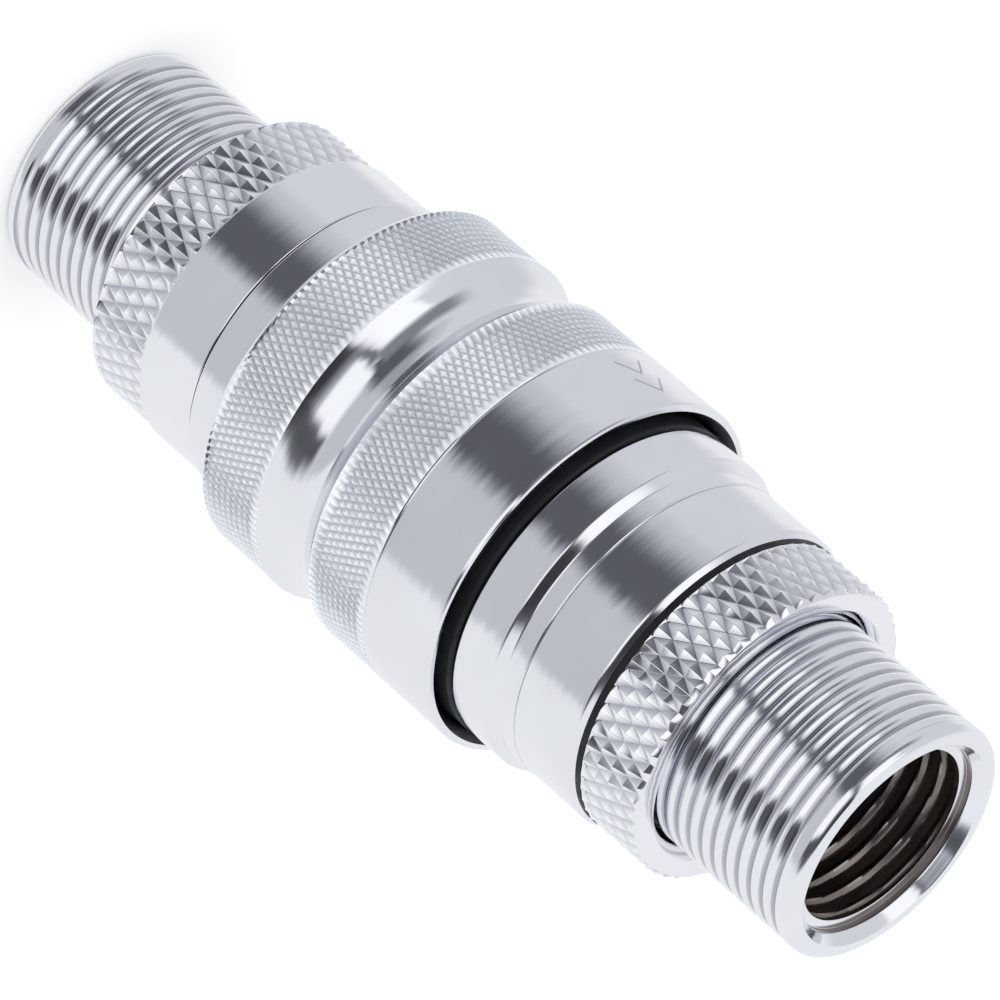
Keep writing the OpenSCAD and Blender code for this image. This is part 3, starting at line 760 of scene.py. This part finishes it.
# Cards round the object, as seen from it, each over the ones before it. Angles are in degrees:
# azimuth from the front towards +X, softness of its two ends, elevation, softness of its ends, shade
ROOM_SHADE = 0.92
CARDS = [
    ((-122, -60), (20, 10), (-99, 50), (5, 20), 0.73),
    ((-60, 60), (12, 10), (-99, -22), (5, 8), 0.62),
    ((-36, -14), (22, 16), (-99, -42), (5, 12), 0.40),
    ((-31, -11), (30, 16), (-36, 0), (8, 12), 0.12),
    ((-66, -20), (24, 5), (-3, 12), (12, 9), 0.25),
    ((-16, 60), (6, 14), (14, 99), (9, 5), 0.20),
    ((-60, -28), (7, 8), (26, 66), (9, 4), 1.12),
    ((-84, -56), (8, 8), (52, 66), (8, 4), 1.12),
    ((-6, 29), (7, 9), (-7, 32), (9, 22), 1.08),
    ((41, 50), (7, 22), (-6, 62), (16, 5), 0.09),
    ((-14, 66), (9, 12), (61, 99), (7, 5), 0.04),
]


def ring_of_cards(tree):
    """Brightness of the room and its cards in the direction of a reflection."""
    place = tree.nodes.new("ShaderNodeTexCoord")
    split = tree.nodes.new("ShaderNodeSeparateXYZ")
    tree.links.new(place.outputs["Generated"], split.inputs["Vector"])
    x, y, z = (split.outputs[axis] for axis in "XYZ")
    degrees = 180 / math.pi
    turn = math_node(tree, "ARCTAN2", x, math_node(tree, "MULTIPLY", y, -1.0))
    azimuth = math_node(tree, "MULTIPLY", turn, degrees)
    elevation = math_node(tree, "MULTIPLY", math_node(tree, "ARCSINE", z), degrees)
    shade = ROOM_SHADE
    for az_span, az_soft, el_span, el_soft, value in CARDS:
        inside = math_node(tree, "MULTIPLY", window(tree, azimuth, az_span, az_soft),
                           window(tree, elevation, el_span, el_soft))
        change = math_node(tree, "MULTIPLY", inside, math_node(tree, "SUBTRACT", value, shade))
        shade = math_node(tree, "ADD", shade, change)
    return shade


def white_light(tree, strength):
    node = tree.nodes.new("ShaderNodeBackground")
    node.inputs["Color"].default_value = (1, 1, 1, 1)
    node.inputs["Strength"].default_value = strength
    return node


def choose(tree, factor, first, second):
    """The first light where the factor is 0 and the second where it is 1."""
    node = tree.nodes.new("ShaderNodeMixShader")
    tree.links.new(factor, node.inputs["Fac"])
    tree.links.new(first.outputs[0], node.inputs[1])
    tree.links.new(second.outputs[0], node.inputs[2])
    return node


def surroundings():
    """White to the camera, even grey to soft surfaces, and a ring of cards to the metal."""
    world = bpy.data.worlds.new("studio")
    bpy.context.scene.world = world
    world.use_nodes = True
    tree = world.node_tree
    tree.nodes.clear()
    shade = ring_of_cards(tree)
    cards = tree.nodes.new("ShaderNodeBackground")
    tree.links.new(mix_colours(tree, shade, (0.93, 0.96, 1.08), (1, 1, 1)), cards.inputs["Color"])
    tree.links.new(shade, cards.inputs["Strength"])
    path = tree.nodes.new("ShaderNodeLightPath")
    shiny = math_node(tree, "MAXIMUM", path.outputs["Is Glossy Ray"], path.outputs["Is Transmission Ray"])
    lit = choose(tree, shiny, white_light(tree, 1.2), cards)
    seen = choose(tree, path.outputs["Is Camera Ray"], lit, white_light(tree, 1.0))
    output = tree.nodes.new("ShaderNodeOutputWorld")
    tree.links.new(seen.outputs[0], output.inputs["Surface"])


def soft_lamp(name, place, size, power):
    """A round lamp that faces the middle of the object and makes no highlight."""
    data = bpy.data.lights.new(name, "AREA")
    data.shape = "DISK"
    data.size = size
    data.energy = power
    lamp = bpy.data.objects.new(name, data)
    bpy.context.scene.collection.objects.link(lamp)
    lamp.location = place
    aim = Vector((0, 0, END_Z / 2)) - lamp.location
    lamp.rotation_euler = aim.to_track_quat("-Z", "Y").to_euler()
    lamp.visible_glossy = False


def floor():
    """A pale floor, left out of the reflections."""
    bm = bmesh.new()
    bmesh.ops.create_grid(bm, x_segments=1, y_segments=1, size=3)
    mesh = bpy.data.meshes.new("floor")
    bm.to_mesh(mesh)
    bm.free()
    material, tree, surface = shader("pale_floor", (0.97, 0.97, 0.97), 0.0, 0.9)
    surface.inputs["Specular IOR Level"].default_value = 0.0
    mesh.materials.append(material)
    piece = bpy.data.objects.new("floor", mesh)
    bpy.context.scene.collection.objects.link(piece)
    piece.visible_glossy = False


def camera():
    """Long lens, 29.6 degrees above the horizon, rolled so that the axis runs down to the right."""
    elevation = math.radians(29.6)
    roll = math.radians(131)
    distance = 0.3977
    target = Vector((-0.00014, 0, 0.03595))
    data = bpy.data.cameras.new("camera")
    data.lens = 247.5
    data.sensor_width = 36
    data.clip_start = 0.01
    eye = bpy.data.objects.new("camera", data)
    bpy.context.scene.collection.objects.link(eye)
    eye.location = target + distance * Vector((0, -math.cos(elevation), math.sin(elevation)))
    look = (target - eye.location).to_track_quat("-Z", "Y")
    eye.rotation_mode = "QUATERNION"
    eye.rotation_quaternion = look @ Quaternion((0, 0, 1), roll)
    bpy.context.scene.camera = eye


camera()
surroundings()
soft_lamp("key", (-0.35, -0.25, 0.6), 0.6, 0.8)
soft_lamp("fill", (0.4, -0.3, 0.4), 0.6, 0.5)
floor()
bpy.context.scene.view_settings.view_transform = "Standard"

socket_rear_body()
plug_rear_body()
plug_nose()
push_sleeve()
sleeve_mark()
ring_nut("plug_ring_nut", "plug_nut", low_z("plug_nut"), high_z("plug_nut"), PLUG_NUT_BEVEL)
ring_nut("socket_ring_nut", "socket_nut", high_z("socket_nut"), low_z("socket_nut"), SOCKET_NUT_BEVEL)
dress_nodes()
squeeze_spring()
